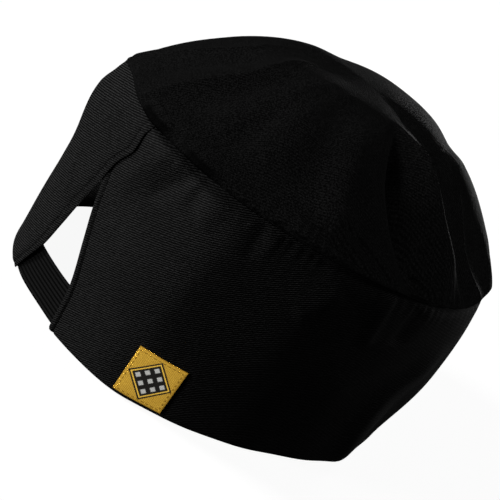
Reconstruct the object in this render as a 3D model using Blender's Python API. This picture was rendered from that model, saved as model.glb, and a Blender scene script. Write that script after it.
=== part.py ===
# A chef's skull cap: a cloth band, a gathered crown, an elastic strap and a woven label.
#
# Metres, +Z up. The rim stands on Z = 0 and the front of the cap faces -Y. Angles are
# measured about the middle of the rim, in degrees, from the centre back (+Y) towards the
# wearer's right (-X). Every cloth wall is worked out from named sizes and the short tables.

from collections import namedtuple

import bpy
import numpy as np

# Plan of the rim and of the seam between band and crown
RIM_WIDTH = 0.165
RIM_LENGTH = 0.192
RIM_SET_BACK = 0.001
SEAM_WIDTH = 0.163
SEAM_LENGTH = 0.201
SEAM_SET_RIGHT = 0.002
SEAM_SET_BACK = 0.0005

# Heights
BAND_HEIGHT = 0.091
BACK_RISE = 0.012
RIGHT_RISE = 0.004
CROWN_RISE = 0.049
CROWN_ROUNDNESS = 2.3

# Cloth
CLOTH = 0.0018
CLEARANCE = 0.0003
WALL_SWELL = 0.006
SEAM_SAG = 0.004
SEAM_DIP = 0.0012
SEAM_DIP_REACH = 0.0036
CROWN_OVERHANG = 0.0026
FOLD_HEIGHT = 0.0055
FOLD_WIDTH = 0.0075
PUCKER_HEIGHT = 0.0022
PUCKER_WIDTH = 0.0055
GATHER_HEIGHT = 0.0009
GATHER_PITCH = 0.020

# Opening at the back and the strap across it
OPENING_WIDTH = 0.040
LAP_FADE = 0.045
STRAP_WIDTH = 0.020
STRAP_THICKNESS = 0.0012
STRAP_RIBS = 10
STRAP_RIB_DEPTH = 0.0004
STRAP_TUCK = 0.014
STRAP_PULL = 0.0008
STRAP_LIFT = 0.0005

# Label
LABEL_SIZE = 0.0245
LABEL_THICKNESS = 0.0007
LABEL_ANGLE = 44.0
LABEL_LIFT = 0.0020

# Facets
BAND_COLUMNS = 96
BAND_ROWS = 9
CROWN_COLUMNS = 96
CROWN_ROWS = 15
STRAP_STATIONS = 14
LABEL_CELLS = 8

# How far the wall stands proud at the rim, at mid height, at the shoulder below the seam and at
# the seam, as shares of WALL_SWELL, and how far the seam sags, as a share of SEAM_SAG
Swell = namedtuple("Swell", "angle rim middle shoulder seam sag")
WALL_SHAPE = (
    Swell(-160, 0.0, 0.5, 0.0, 0.0, 0.0),
    Swell(-110, 0.0, 0.6, 0.0, -0.15, 0.0),
    Swell(-75, 0.1, 0.4, 0.35, -0.45, 0.5),
    Swell(-40, 0.2, -0.4, 0.7, 0.4, 1.6),
    Swell(-15, 0.2, 0.5, 0.8, -0.7, 0.1),
    Swell(5, 0.15, 0.4, 0.1, -0.1, 0.0),
    Swell(25, 0.25, 0.4, 0.0, 0.0, 0.0),
    Swell(60, 0.0, 0.3, 0.0, 0.0, 0.0),
    Swell(85, -0.25, 0.2, 0.0, 0.0, 0.0),
    Swell(118, 0.2, 0.3, 0.0, 0.15, 0.0),
    Swell(140, -0.2, 0.7, 0.1, 0.05, 0.0),
    Swell(165, -0.2, 0.5, 0.0, 0.0, 0.0),
)

# Heights on the wall, as shares of its height: where the rim's swell ends and the seam's begins,
# the middle and half width of the shoulder, and the stretch below the seam where folds fade
SWELL_TURN = 0.5
SWELL_SHARPNESS = 1.5
SHOULDER_LEVEL = 0.80
SHOULDER_SPREAD = 0.15
BAND_FOLD_FADE = 0.05

# The crown by angle: how far it rolls out over the seam, as a share of CROWN_OVERHANG, and
# how much it is lifted half way in, as a share of CROWN_RISE
Crown = namedtuple("Crown", "angle overhang lift")
CROWN_SHAPE = (
    Crown(-150, 0.8, 0.04),
    Crown(-100, 0.7, 0.00),
    Crown(-60, -0.1, 0.04),
    Crown(-35, -0.6, -0.03),
    Crown(-12, 0.4, -0.04),
    Crown(8, 1.6, 0.02),
    Crown(25, 1.4, 0.03),
    Crown(60, 0.9, 0.06),
    Crown(100, 0.9, 0.06),
    Crown(130, 0.3, -0.05),
    Crown(155, 0.5, 0.03),
)

# Places on the crown, as shares of the way in from its seam or out from its middle
ROLL_INSET = 0.03
WALL_TURN_INSET = 0.06
CROWN_FOLD_FADE = 0.045
GATHER_START = 0.70
GATHER_SPAN = 0.25
CROWN_INNER_REACH = 0.06
CROWN_RING_SHARPNESS = 1.35

# The part of the seam without gathers, in degrees: its middle, its half width and its soft end
PLAIN_MIDDLE = 58
PLAIN_HALF = 70
PLAIN_SOFT = 25

# The two ends of the band at the back: height as a share of the band's height there, and
# distance from the centre back line, towards the wearer's right, as a share of OPENING_WIDTH
Edge = namedtuple("Edge", "height offset")
RIGHT_END = (
    Edge(0.00, 0.58),
    Edge(0.21, 0.54),
    Edge(0.42, 0.38),
    Edge(0.56, 0.26),
    Edge(0.70, 0.16),
    Edge(0.85, 0.04),
    Edge(1.00, -0.10),
)
LEFT_END = (
    Edge(0.00, -0.42),
    Edge(0.23, -0.09),
    Edge(0.36, 0.00),
    Edge(0.51, 0.09),
    Edge(0.65, 0.18),
    Edge(0.78, 0.25),
    Edge(0.86, 0.34),
    Edge(0.93, 0.32),
    Edge(1.00, 0.28),
)

# Folds run through a few places of (angle, reach). Reach is a share of the way from the middle of
# the crown to its seam, or of the band's height from rim to seam. Height, and the widths on the
# left and the right of the path, are shares of the fold sizes on the crown, and of the pucker
# sizes on the band. Valleys have a height below zero.
Fold = namedtuple("Fold", "places height left right sharpness")
CROWN_FOLDS = (
    Fold(((90, 0.26), (78, 0.62), (82, 0.80), (92, 0.92), (112, 1.05)), -1.15, 1.35, 0.65, 1.5),
    Fold(((120, 0.26), (109, 0.66), (119, 0.98)), 0.36, 0.55, 1.30, 2.0),
    Fold(((104, 0.20), (111, 0.50), (118, 0.83), (127, 1.06)), 0.26, 0.35, 0.80, 1.2),
    Fold(((140, 0.56), (131, 0.80), (139, 1.04)), 0.26, 0.36, 0.80, 1.2),
    Fold(((152, 0.44), (150, 0.72), (154, 1.00)), 0.50, 2.20, 2.20, 2.0),
    Fold(((57, 0.30), (60, 0.69), (67, 0.96)), 0.40, 1.10, 1.35, 2.0),
    Fold(((56, 0.83), (74, 0.92), (94, 1.00)), 0.24, 0.45, 0.45, 1.5),
    Fold(((48, 0.91), (66, 0.95), (90, 1.00)), -0.25, 0.35, 0.35, 1.5),
    Fold(((1, 1.08), (-2, 0.80), (-4, 0.50), (-26, 0.26)), 0.65, 1.60, 0.70, 1.2),
    Fold(((-10, 0.12), (26, 0.47), (39, 0.90)), 0.42, 1.60, 1.60, 2.0),
    Fold(((38, 0.24), (48, 0.60), (50, 0.96)), -0.25, 1.35, 1.35, 2.0),
    Fold(((-26, 1.00), (-24, 0.68), (-48, 0.40)), 0.38, 0.80, 0.45, 1.2),
    Fold(((-14, 0.98), (-14, 0.72), (-17, 0.46)), -0.25, 0.80, 0.80, 1.8),
    Fold(((-73, 1.04), (-66, 0.76), (-80, 0.46)), -0.45, 0.80, 0.80, 1.7),
    Fold(((-110, 1.04), (-118, 0.78), (-106, 0.52)), -0.50, 0.75, 0.75, 1.7),
    Fold(((-148, 1.04), (-140, 0.74), (-154, 0.46)), -0.40, 0.80, 0.80, 1.7),
    Fold(((171, 1.04), (178, 0.76), (166, 0.44)), -0.45, 0.90, 0.90, 1.7),
)
BAND_FOLDS = (
    Fold(((117, -0.15), (115, 0.25), (118, 0.50), (133, 0.80)), 1.05, 1.10, 1.80, 1.6),
    Fold(((128, -0.05), (129, 0.35), (139, 0.68)), -0.65, 1.60, 1.60, 2.0),
    Fold(((9, 0.66), (12, 0.82), (17, 1.02)), 0.75, 1.10, 0.90, 1.8),
    Fold(((17, 0.75), (22, 0.88), (25, 1.05)), -0.85, 0.75, 0.60, 1.6),
    Fold(((28, 0.84), (28, 1.04)), -0.45, 0.50, 0.50, 1.6),
    Fold(((47, 0.80), (46, 1.02)), -0.50, 0.75, 0.60, 1.6),
    Fold(((74, 0.70), (76, 0.82), (78, 0.94)), 0.40, 1.20, 1.20, 1.8),
    Fold(((92, 0.72), (92, 0.88), (90, 1.02)), 0.50, 1.10, 0.90, 1.8),
    Fold(((104, 0.74), (104, 0.86), (105, 0.98)), -0.55, 0.90, 0.90, 1.8),
    Fold(((-6, 0.80), (-5, 0.90), (-3, 1.02)), 0.50, 0.60, 0.60, 1.5),
    Fold(((-44, 0.78), (-45, 0.88), (-46, 1.00)), -0.50, 1.00, 1.00, 1.8),
    Fold(((-88, 0.76), (-88, 0.88), (-89, 1.00)), -0.55, 1.00, 1.00, 1.8),
    Fold(((-128, 0.76), (-127, 0.88), (-127, 1.00)), -0.50, 1.00, 1.00, 1.8),
    Fold(((176, 0.76), (176, 0.88), (177, 1.00)), -0.50, 1.00, 1.00, 1.8),
)

# Points along a fold's path, and the share of its length over which it fades to nothing at each end
FOLD_POINTS = 25
SOFT_END = 0.24

# Most that reach squared times inset can be, found two thirds of the way out
LIFT_PEAK = 4 / 27


def smooth_step(share):
    """Goes from 0 to 1 with level ends."""
    share = np.clip(share, 0.0, 1.0)
    return share * share * (3.0 - 2.0 * share)


def through_points(x, knots, values):
    """A smooth curve through points: cubic pieces whose slopes are those of their neighbours."""
    slopes = np.gradient(values, knots)
    left = np.clip(np.searchsorted(knots, x, side="right") - 1, 0, len(knots) - 2)
    width = knots[left + 1] - knots[left]
    s = np.clip((x - knots[left]) / width, 0.0, 1.0)
    return (
        (2 * s**3 - 3 * s**2 + 1) * values[left]
        + (s**3 - 2 * s**2 + s) * width * slopes[left]
        + (3 * s**2 - 2 * s**3) * values[left + 1]
        + (s**3 - s**2) * width * slopes[left + 1]
    )


def turned(angle):
    """The same angle, between -180 and 180."""
    return (angle + 180.0) % 360.0 - 180.0


def around(angle, table, column):
    """Reads a table of angles all the way round the cap."""
    knots = np.array([row.angle for row in table], float)
    values = np.array([getattr(row, column) for row in table], float)
    knots = np.concatenate([knots - 360.0, knots, knots + 360.0])
    values = np.tile(values, 3)
    return through_points(turned(angle), knots, values)


def spoke(angle):
    """The level direction from the middle of the cap at an angle."""
    turn = np.radians(angle)
    return np.stack([-np.sin(turn), np.cos(turn), np.zeros_like(turn)], -1)


def oval(angle, width, length):
    """Distance from the middle of an ellipse to its edge."""
    turn = np.radians(angle)
    return 1.0 / np.hypot(np.sin(turn) / (width / 2), np.cos(turn) / (length / 2))


def seam_height(angle):
    turn = np.radians(angle)
    level = BAND_HEIGHT + BACK_RISE * np.cos(turn) + RIGHT_RISE * np.sin(turn)
    return level - SEAM_SAG * around(angle, WALL_SHAPE, "sag")


def seam_middle():
    return np.array([-SEAM_SET_RIGHT, SEAM_SET_BACK, 0.0])


def rim_middle():
    return np.array([0.0, RIM_SET_BACK, 0.0])


def fold_path(fold, to_flat):
    """Points along a smooth curve through the fold's places, laid out on the flat cloth."""
    knots = np.arange(len(fold.places), dtype=float)
    k = np.linspace(0.0, knots[-1], FOLD_POINTS)
    flat = np.array([to_flat(*place) for place in fold.places])
    return np.stack([through_points(k, knots, flat[:, axis]) for axis in range(2)], -1)


def fold_relief(points, folds, to_flat, height, width, wrap=0.0):
    """Sum of the folds: a ridge or valley along each path, with its own fall on either side."""
    relief = np.zeros(points.shape[:-1])
    for fold in folds:
        path = fold_path(fold, to_flat)
        gap = points[..., None, :] - path
        if wrap:
            gap[..., 0] = (gap[..., 0] + wrap / 2) % wrap - wrap / 2
        distance = np.hypot(gap[..., 0], gap[..., 1])
        nearest = np.argmin(distance, axis=-1)
        along = np.gradient(path, axis=0)[nearest]
        gap = np.take_along_axis(gap, nearest[..., None, None], axis=-2)[..., 0, :]
        on_left = along[..., 0] * gap[..., 1] - along[..., 1] * gap[..., 0] > 0
        near = distance.min(axis=-1) / (width * np.where(on_left, fold.left, fold.right))
        place = nearest / (FOLD_POINTS - 1)
        ends = smooth_step(place / SOFT_END) * smooth_step((1.0 - place) / SOFT_END)
        relief += height * fold.height * np.exp(-(near**fold.sharpness)) * ends
    return relief


def crown_flat(angle, reach):
    """A place on the crown's plan."""
    return crown_radius() * reach * spoke(np.array(float(angle)))[:2]


def crown_radius():
    return (SEAM_WIDTH + SEAM_LENGTH) / 4


def crown_relief(angle, reach):
    """Height of the crown's folds, laid out on its plan, and of the gathers at its seam."""
    plan = crown_radius() * reach[..., None] * spoke(angle)[..., :2]
    relief = fold_relief(plan, CROWN_FOLDS, crown_flat, FOLD_HEIGHT, FOLD_WIDTH)
    count = round(2 * np.pi * crown_radius() / GATHER_PITCH)
    strength = smooth_step((reach - GATHER_START) / GATHER_SPAN)
    gathers = GATHER_HEIGHT * np.cos(np.radians(angle) * count) * strength
    from_plain = np.abs(turned(angle - PLAIN_MIDDLE))
    gathers = gathers * smooth_step((from_plain - PLAIN_HALF) / PLAIN_SOFT)
    return (relief + gathers) * smooth_step((1.0 - reach) / CROWN_FOLD_FADE)


def band_radius():
    return (RIM_WIDTH + RIM_LENGTH) / 4


def band_flat(angle, share):
    """A place on the band's wall, laid out flat."""
    return np.array([np.radians(angle) * band_radius(), share * BAND_HEIGHT])


def band_relief(angle, share):
    """Height of the band's folds, laid out along the wall."""
    turn = 2 * np.pi * band_radius()
    wall = np.stack([np.radians(angle) * band_radius(), share * BAND_HEIGHT], -1)
    relief = fold_relief(wall, BAND_FOLDS, band_flat, PUCKER_HEIGHT, PUCKER_WIDTH, wrap=turn)
    return relief * smooth_step((1.0 - share) / BAND_FOLD_FADE)


def wall_point(angle, share, inward=0.0):
    """A point on the outside of the band's wall, share of the way up from rim to seam."""
    rim = rim_middle() + spoke(angle) * oval(angle, RIM_WIDTH, RIM_LENGTH)[..., None]
    seam = seam_middle() + spoke(angle) * oval(angle, SEAM_WIDTH, SEAM_LENGTH)[..., None]
    level = share[..., None]
    place = rim * (1 - level) + seam * level
    low = around(angle, WALL_SHAPE, "rim") * (1 - smooth_step(share / SWELL_TURN))
    middle = around(angle, WALL_SHAPE, "middle") * np.sin(np.pi * share) ** SWELL_SHARPNESS
    bulge = np.exp(-(((share - SHOULDER_LEVEL) / SHOULDER_SPREAD) ** 2))
    bulge = bulge * smooth_step((1 - share) / SHOULDER_SPREAD)
    shoulder = around(angle, WALL_SHAPE, "shoulder") * bulge
    high = around(angle, WALL_SHAPE, "seam") * smooth_step((share - SWELL_TURN) / (1 - SWELL_TURN))
    dip = SEAM_DIP * np.exp(-(((1 - share) * BAND_HEIGHT / SEAM_DIP_REACH) ** 2))
    out = WALL_SWELL * (low + middle + shoulder + high) - dip - inward
    out = out + band_relief(angle, share)
    place = place + spoke(angle) * out[..., None]
    place[..., 2] = seam_height(angle) * share
    return place


def back_angle(distance):
    """Angle of a point on the back of the rim, from its distance to the centre back line."""
    return np.degrees(distance / (RIM_LENGTH / 2))


def end_angle(table, share):
    knots = np.array([row.height for row in table])
    offsets = np.array([row.offset for row in table]) * OPENING_WIDTH
    return back_angle(through_points(share, knots, offsets))


def lap(angle):
    """How far the right end of the band lies inside, under the left end."""
    widest = back_angle(max(row.offset for row in RIGHT_END + LEFT_END) * OPENING_WIDTH)
    fade = back_angle(LAP_FADE)
    return (CLOTH + CLEARANCE) * (1 - smooth_step((angle - widest) / fade))


def band_grid():
    """The outside of the band as one strip, from its right end round the front to its left end."""
    along = np.linspace(0.0, 1.0, BAND_COLUMNS + 1)[:, None]
    share = np.linspace(0.0, 1.0, BAND_ROWS + 1)[None, :]
    share = share + 0.0 * along
    first = end_angle(RIGHT_END, share)
    last = end_angle(LEFT_END, share) + 360.0
    angle = first + (last - first) * along
    outside = wall_point(angle, share, lap(angle))
    inside = outside - spoke(angle) * CLOTH
    return outside, inside


def crown_grid():
    """The crown's two faces, from the seam (first ring) to the ring next to its middle."""
    angle = (np.arange(CROWN_COLUMNS) * 360.0 / CROWN_COLUMNS)[:, None]
    step = np.linspace(0.0, 1.0, CROWN_ROWS + 1)[None, :-1]
    reach = 1.0 - (1.0 - CROWN_INNER_REACH) * step**CROWN_RING_SHARPNESS + 0.0 * angle
    angle = angle + 0.0 * reach
    return crown_surface(angle, reach)


def crown_surface(angle, reach):
    edge = oval(angle, SEAM_WIDTH, SEAM_LENGTH) - SEAM_DIP
    edge = edge + WALL_SWELL * around(angle, WALL_SHAPE, "seam")
    seam = seam_height(angle) + CLEARANCE
    inset = 1.0 - reach
    roll = inset / ROLL_INSET
    overhang = CROWN_OVERHANG * around(angle, CROWN_SHAPE, "overhang") + SEAM_DIP
    out = overhang * roll * np.exp(1.0 - roll)
    level = reach**2
    height = seam * level + (BAND_HEIGHT + CLEARANCE) * (1 - level)
    lift = around(angle, CROWN_SHAPE, "lift") * reach**2 * inset / LIFT_PEAK
    height = height + CROWN_RISE * (1 - reach**CROWN_ROUNDNESS + lift)
    outside = seam_middle() + spoke(angle) * (edge * reach + out)[..., None]
    outside[..., 2] = height

    slope = CROWN_RISE * CROWN_ROUNDNESS * reach ** (CROWN_ROUNDNESS - 1) / edge
    normal = spoke(angle) * slope[..., None]
    normal[..., 2] = 1.0
    normal /= np.linalg.norm(normal, axis=-1, keepdims=True)
    outside = outside + normal * crown_relief(angle, reach)[..., None]
    upright = smooth_step(inset / WALL_TURN_INSET)[..., None]
    into = spoke(angle) * (1 - upright) + normal * upright
    into /= np.linalg.norm(into, axis=-1, keepdims=True)
    return outside, outside - into * CLOTH


def crown_middles():
    angle = np.zeros((1, 1))
    outside, inside = crown_surface(angle, angle)
    return outside[0, 0], inside[0, 0]


def quads_between(first, second):
    """Faces between two rows of vertex numbers."""
    return [
        (second[i], second[i + 1], first[i + 1], first[i])
        for i in range(len(first) - 1)
    ]


def sheet_shell(outside, inside):
    """Closes two matching grids into one thin solid. Grids run along, then up."""
    columns, rows = outside.shape[:2]
    points = np.concatenate([outside.reshape(-1, 3), inside.reshape(-1, 3)])
    number = np.arange(columns * rows).reshape(columns, rows)
    back = number + columns * rows
    faces = []
    for i in range(columns - 1):
        faces += quads_between(list(number[i]), list(number[i + 1]))
        faces += quads_between(list(back[i + 1]), list(back[i]))
    faces += quads_between(list(back[0]), list(number[0]))
    faces += quads_between(list(number[-1]), list(back[-1]))
    faces += quads_between(list(number[:, 0]), list(back[:, 0]))
    faces += quads_between(list(back[:, -1]), list(number[:, -1]))
    return points, faces


def dome_shell(outside, inside, top, under):
    """Closes two ringed grids and their middle points into one bowl-shaped solid."""
    columns, rows = outside.shape[:2]
    count = columns * rows
    points = np.concatenate([outside.reshape(-1, 3), inside.reshape(-1, 3), [top, under]])
    number = np.arange(count).reshape(columns, rows)
    number = np.concatenate([number, number[:1]])
    back = number + count
    faces = []
    for i in range(columns):
        faces += quads_between(list(number[i]), list(number[i + 1]))
        faces += quads_between(list(back[i + 1]), list(back[i]))
        faces.append((number[i, -1], number[i + 1, -1], 2 * count))
        faces.append((back[i + 1, -1], back[i, -1], 2 * count + 1))
    faces += quads_between(list(number[:, 0]), list(back[:, 0]))
    return points, faces


def strap_shell():
    """A ribbed elastic strap, pulled nearly straight across the opening inside the band."""
    right_tip = end_angle(RIGHT_END, np.array(0.0)) + back_angle(STRAP_TUCK)
    left_tip = end_angle(LEFT_END, np.array(0.0)) - back_angle(STRAP_TUCK)
    middle = (right_tip + left_tip) / 2
    angle = np.linspace(left_tip, right_tip, STRAP_STATIONS)
    along = np.linspace(-1.0, 1.0, STRAP_STATIONS)
    under_right = smooth_step((angle - middle) / back_angle(OPENING_WIDTH) + 0.5)
    inner = CLOTH + CLEARANCE + (CLOTH + CLEARANCE) * under_right
    inner = inner + STRAP_PULL * np.cos(along * np.pi / 2) ** 2

    front = np.linspace(0.0, 1.0, 2 * STRAP_RIBS + 1)
    rib = STRAP_RIB_DEPTH * (np.arange(2 * STRAP_RIBS + 1) % 2 == 0)
    height = np.concatenate([front, [1.0, 0.0]]) * STRAP_WIDTH + STRAP_LIFT
    depth = np.concatenate([rib, [STRAP_THICKNESS, STRAP_THICKNESS]])

    share = height[None, :] / seam_height(angle)[:, None]
    face = wall_point(angle[:, None] + 0.0 * share, share)
    points = face - spoke(angle)[:, None, :] * (inner[:, None] + depth[None, :])[..., None]
    number = np.arange(points.shape[0] * points.shape[1]).reshape(points.shape[:2])
    loop = np.concatenate([number, number[:, :1]], axis=1)
    faces = []
    for i in range(STRAP_STATIONS - 1):
        faces += quads_between(list(loop[i]), list(loop[i + 1]))
    faces.append(tuple(number[0]))
    faces.append(tuple(number[-1])[::-1])
    return points.reshape(-1, 3), faces


def label_shell():
    """A square woven label lying on the outside of the band, just above its rim."""
    radius = oval(np.array(LABEL_ANGLE), RIM_WIDTH, RIM_LENGTH)
    half = np.degrees(LABEL_SIZE / 2 / radius)
    angle = np.linspace(LABEL_ANGLE - half, LABEL_ANGLE + half, LABEL_CELLS + 1)[:, None]
    height = np.linspace(LABEL_LIFT, LABEL_LIFT + LABEL_SIZE, LABEL_CELLS + 1)[None, :]
    angle = angle + 0.0 * height
    share = height / seam_height(angle)
    ground = wall_point(angle, share, lap(angle))
    inside = ground + spoke(angle) * CLEARANCE
    outside = inside + spoke(angle) * LABEL_THICKNESS
    return sheet_shell(outside, inside)


def cloth_material(name, colour, roughness):
    material = bpy.data.materials.new(name)
    material.use_nodes = True
    shader = material.node_tree.nodes["Principled BSDF"]
    shader.inputs["Base Color"].default_value = (*colour, 1.0)
    shader.inputs["Roughness"].default_value = roughness
    shader.inputs["Metallic"].default_value = 0.0
    return material


def add_piece(name, points, faces, material, smooth):
    mesh = bpy.data.meshes.new(name)
    mesh.from_pydata([tuple(p) for p in points], [], [tuple(int(v) for v in f) for f in faces])
    mesh.validate()
    mesh.materials.append(material)
    if smooth:
        mesh.shade_smooth()
    piece = bpy.data.objects.new(name, mesh)
    bpy.context.scene.collection.objects.link(piece)
    return piece


def build():
    for old in list(bpy.data.objects):
        bpy.data.objects.remove(old, do_unlink=True)

    twill = cloth_material("black_twill", (0.012, 0.012, 0.012), 0.85)
    crown_cloth = cloth_material("black_crown_cloth", (0.012, 0.012, 0.012), 0.85)
    elastic = cloth_material("black_elastic", (0.010, 0.010, 0.010), 0.70)
    woven = cloth_material("gold_woven_label", (0.60, 0.40, 0.08), 0.60)

    shells = {
        "band": (*sheet_shell(*band_grid()), twill, True),
        "crown": (*dome_shell(*crown_grid(), *crown_middles()), crown_cloth, True),
        "elastic_strap": (*strap_shell(), elastic, False),
        "label": (*label_shell(), woven, False),
    }

    every = np.concatenate([shell[0] for shell in shells.values()])
    centre = (every.min(axis=0) + every.max(axis=0)) / 2
    centre[2] = 0.0
    for name, (points, faces, material, smooth) in shells.items():
        add_piece(name, points - centre, faces, material, smooth)


build()
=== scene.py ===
# Chef's skull cap: the finished cloth, strap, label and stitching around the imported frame.
import math

import bpy
import numpy as np
from mathutils import Matrix, Vector


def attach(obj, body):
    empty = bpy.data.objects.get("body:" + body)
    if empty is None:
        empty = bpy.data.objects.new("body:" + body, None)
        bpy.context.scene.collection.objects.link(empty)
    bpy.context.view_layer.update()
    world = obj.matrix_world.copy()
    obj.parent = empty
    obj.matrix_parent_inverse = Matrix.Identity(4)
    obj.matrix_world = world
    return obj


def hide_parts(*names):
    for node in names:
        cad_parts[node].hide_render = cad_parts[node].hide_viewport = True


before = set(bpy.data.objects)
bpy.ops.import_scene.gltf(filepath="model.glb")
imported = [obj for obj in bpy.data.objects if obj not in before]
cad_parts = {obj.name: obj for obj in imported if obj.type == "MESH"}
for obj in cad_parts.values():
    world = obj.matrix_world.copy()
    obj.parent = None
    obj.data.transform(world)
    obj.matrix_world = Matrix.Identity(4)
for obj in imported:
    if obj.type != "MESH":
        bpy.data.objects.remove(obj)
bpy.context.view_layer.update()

# Sizes of the cap in metres: the frame's own, and those of the pockets, which only the finished
# cloth has. Angles run from the centre back (+Y) towards the wearer's right (-X), in degrees
cap = {
    "rimWidth": 0.165,
    "rimLength": 0.192,
    "rimSetBack": 0.001,
    "seamWidth": 0.163,
    "seamLength": 0.201,
    "seamSetRight": 0.002,
    "seamSetBack": 0.0005,
    "bandHeight": 0.091,
    "backRise": 0.012,
    "rightRise": 0.004,
    "cloth": 0.0018,
    "clearance": 0.0003,
    "swell": 0.006,
    "seamSag": 0.004,
    "seamDip": 0.0012,
    "halfUp": 0.5,
    "shoulder": 0.80,
    "shoulderWidth": 0.15,
    "pocketDepth": 0.0045,
    "pocketHeight": 0.0032,
    "pockets": ((9.0, 5.0, 1.0), (25.0, 5.0, 0.8)),  # angle, width and share of the depth
    "opening": 0.040,
    "lapFade": 0.045,
}

# angle: how far the wall stands proud at the rim, at mid height, at the shoulder below the seam and
# at the seam (shares of swell), and how far the seam sags (share of seamSag)
wallShape = {
    -160: (0.0, 0.5, 0.0, 0.0, 0.0),
    -110: (0.0, 0.6, 0.0, -0.15, 0.0),
    -75: (0.1, 0.4, 0.35, -0.45, 0.5),
    -40: (0.2, -0.4, 0.7, 0.4, 1.6),
    -15: (0.2, 0.5, 0.8, -0.7, 0.1),
    5: (0.15, 0.4, 0.1, -0.1, 0.0),
    25: (0.25, 0.4, 0.0, 0.0, 0.0),
    60: (0.0, 0.3, 0.0, 0.0, 0.0),
    85: (-0.25, 0.2, 0.0, 0.0, 0.0),
    118: (0.2, 0.3, 0.0, 0.15, 0.0),
    140: (-0.2, 0.7, 0.1, 0.05, 0.0),
    165: (-0.2, 0.5, 0.0, 0.0, 0.0),
}

# share of the band's height: distance from the centre back, as a share of the opening
rightEnd = {0.00: 0.58, 0.21: 0.54, 0.42: 0.38, 0.56: 0.26, 0.70: 0.16, 0.85: 0.04, 1.00: -0.10}
leftEnd = {0.00: -0.42, 0.23: -0.09, 0.36: 0.00, 0.51: 0.09, 0.65: 0.18, 0.78: 0.25,
           0.86: 0.34, 0.93: 0.32, 1.00: 0.28}


def smoothStep(share):
    share = np.clip(share, 0.0, 1.0)
    return share * share * (3.0 - 2.0 * share)


def bump(x, middle, width):
    return np.exp(-(((x - middle) / width) ** 2))


# A smooth curve through points: cubic pieces whose slopes are those of their neighbours
def throughPoints(x, knots, values):
    slopes = np.gradient(values, knots)
    left = np.clip(np.searchsorted(knots, x, side="right") - 1, 0, len(knots) - 2)
    width = knots[left + 1] - knots[left]
    s = np.clip((x - knots[left]) / width, 0.0, 1.0)
    return ((2 * s**3 - 3 * s**2 + 1) * values[left]
            + (s**3 - 2 * s**2 + s) * width * slopes[left]
            + (3 * s**2 - 2 * s**3) * values[left + 1]
            + (s**3 - s**2) * width * slopes[left + 1])


def turned(angle):
    return (angle + 180.0) % 360.0 - 180.0


# Reads one column of a table of angles all the way round the cap
def around(angle, table, column):
    knots = np.array(sorted(table), float)
    values = np.array([table[knot][column] for knot in sorted(table)], float)
    knots = np.concatenate([knots - 360.0, knots, knots + 360.0])
    return throughPoints(turned(angle), knots, np.tile(values, 3))


def spoke(angle):
    turn = np.radians(angle)
    return np.stack([-np.sin(turn), np.cos(turn), np.zeros_like(turn)], -1)


# Distance from the middle of an ellipse to its edge
def oval(angle, width, length):
    turn = np.radians(angle)
    return 1.0 / np.hypot(np.sin(turn) / (width / 2), np.cos(turn) / (length / 2))


def seamHeight(angle):
    turn = np.radians(angle)
    level = cap["bandHeight"] + cap["backRise"] * np.cos(turn) + cap["rightRise"] * np.sin(turn)
    return level - cap["seamSag"] * around(angle, wallShape, 4)


shift = np.array([0.00022, -0.00081, 0.0])  # moves the middle of the cap's box onto the origin
rimMiddle = np.array([0.0, cap["rimSetBack"], 0.0])
seamMiddle = np.array([-cap["seamSetRight"], cap["seamSetBack"], 0.0])
rimRadius = (cap["rimWidth"] + cap["rimLength"]) / 4
seamRadius = (cap["seamWidth"] + cap["seamLength"]) / 4


# Points along a smooth curve through a fold's few (angle, share) places, on the flat cloth
def foldPath(places, toFlat, perSpan=6):
    knots = np.arange(len(places), dtype=float)
    k = np.linspace(0.0, knots[-1], perSpan * (len(places) - 1) + 1)
    corners = np.array([toFlat(*place) for place in places])
    return np.stack([throughPoints(k, knots, corners[:, axis]) for axis in range(2)], -1)


# Height of a set of folds over flat cloth points: along each path a ridge or valley of the given
# height falls off as exp(-(distance / width) ** sharpness), with one width on the path's left and
# one on its right, and fades to nothing over the first and last fifth of the path
def foldRelief(points, folds, toFlat, wrap=0.0, endFade=5):
    relief = np.zeros(points.shape[:-1])
    for places, height, left, right, sharpness in folds:
        path = foldPath(places, toFlat)
        start, step = path[:-1], np.diff(path, axis=0)
        gap = points[..., None, :] - start
        if wrap:
            gap[..., 0] = (gap[..., 0] + wrap / 2) % wrap - wrap / 2
        along = np.clip((gap * step).sum(-1) / (step * step).sum(-1), 0.0, 1.0)
        side = step[:, 0] * gap[..., 1] - step[:, 1] * gap[..., 0]
        gap = gap - along[..., None] * step
        distance = np.hypot(gap[..., 0], gap[..., 1])
        best = distance.argmin(-1)[..., None]
        width = np.where(np.take_along_axis(side, best, -1)[..., 0] > 0, left, right)
        near = np.take_along_axis(distance, best, -1)[..., 0] / width
        place = (best[..., 0] + np.take_along_axis(along, best, -1)[..., 0]) / len(step)
        ends = smoothStep(place * endFade) * smoothStep((1 - place) * endFade)
        relief += height * np.exp(-(near**sharpness)) * ends
    return relief


# Gentle unevenness of soft cloth: a few crossing waves of seeded direction and phase
def softWaves(x, y, height, length, seed, count=7, spread=(0.7, 1.5)):
    rng = np.random.default_rng(seed)
    total = np.zeros_like(x)
    for _ in range(count):
        turn, phase = rng.uniform(0, 2 * np.pi, 2)
        size = length * rng.uniform(*spread)
        total += np.sin(2 * np.pi * (x * np.cos(turn) + y * np.sin(turn)) / size + phase)
    return height * total / math.sqrt(count)


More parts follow.
